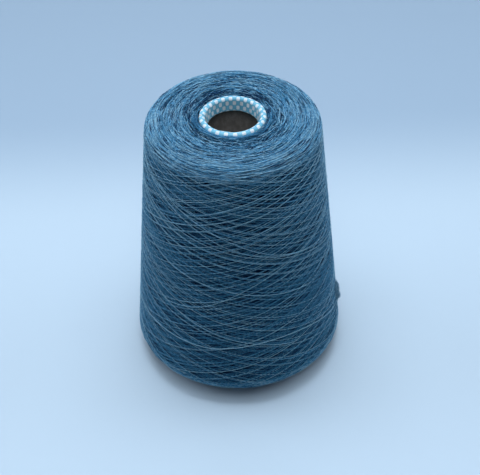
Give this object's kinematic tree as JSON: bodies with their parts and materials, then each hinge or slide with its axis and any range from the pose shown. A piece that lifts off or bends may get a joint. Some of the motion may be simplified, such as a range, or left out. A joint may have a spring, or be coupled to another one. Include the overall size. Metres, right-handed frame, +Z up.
{
  "type": "yarn cone",
  "caption": "Cone of cross-wound knitting yarn on a tapered paper cone with a rounded, turned-in nose and an open bore for a cone holder.",
  "frame": {"origin": "centre of the cone's base ring, on the surface it stands on", "axes": "+Z up the cone's axis from the wide base to the rounded nose, -Y towards the side that the last wrap sweeps across, +X towards the tucked outer end"},
  "size_m": [0.1276, 0.1276, 0.17],
  "materials": {
    "printed_paper": "satin coated print, turquoise with small white squares in staggered rows",
    "cone_board": "matte grey recycled board",
    "liner_paper": "matte grey lining paper",
    "yarn": "matte petrol-blue twisted yarn, slightly hairy"
  },
  "bodies": {
    "root": {"cone_cover_paper": "printed_paper", "cone_outer_board_wrap": "cone_board", "cone_inner_board_wrap": "cone_board", "cone_liner_paper": "liner_paper", "yarn_package": "yarn", "yarn_outer_end": "yarn"}
  },
  "joints": []
}
